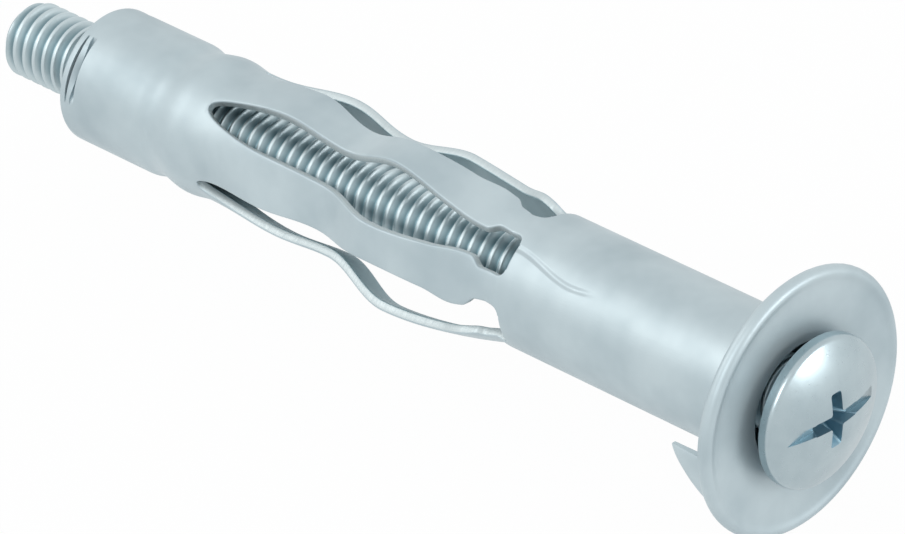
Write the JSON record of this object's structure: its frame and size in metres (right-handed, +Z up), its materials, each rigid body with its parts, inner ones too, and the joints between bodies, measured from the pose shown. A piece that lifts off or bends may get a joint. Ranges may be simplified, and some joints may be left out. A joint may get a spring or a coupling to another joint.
{
  "type": "hollow wall anchor",
  "caption": "Expanding steel anchor for hollow walls: a slotted, flanged sleeve with folding legs and rim claws, a captive rear nut and a pan-head screw.",
  "frame": {"origin": "centre of the flange's back face, which bears on the wall", "axes": "+X along the anchor's axis towards the screw head, -X into the wall; +Z up, with one slot of the sleeve at the top and one at the bottom"},
  "size_m": [0.08, 0.0202, 0.0202],
  "materials": {
    "sleeve_steel": "bright zinc-plated",
    "nut_steel": "bright zinc-plated",
    "screw_steel": "bright zinc-plated"
  },
  "bodies": {
    "anchor": {"expansion_sleeve": "sleeve_steel", "captive_nut": "nut_steel"},
    "screw": {"machine_screw": "screw_steel"}
  },
  "joints": [
    {"name": "screw_turn", "type": "hinge", "parent": "anchor", "child": "screw", "pos_m": [0, 0, 0], "axis": [1, 0, 0], "continuous": true}
  ]
}
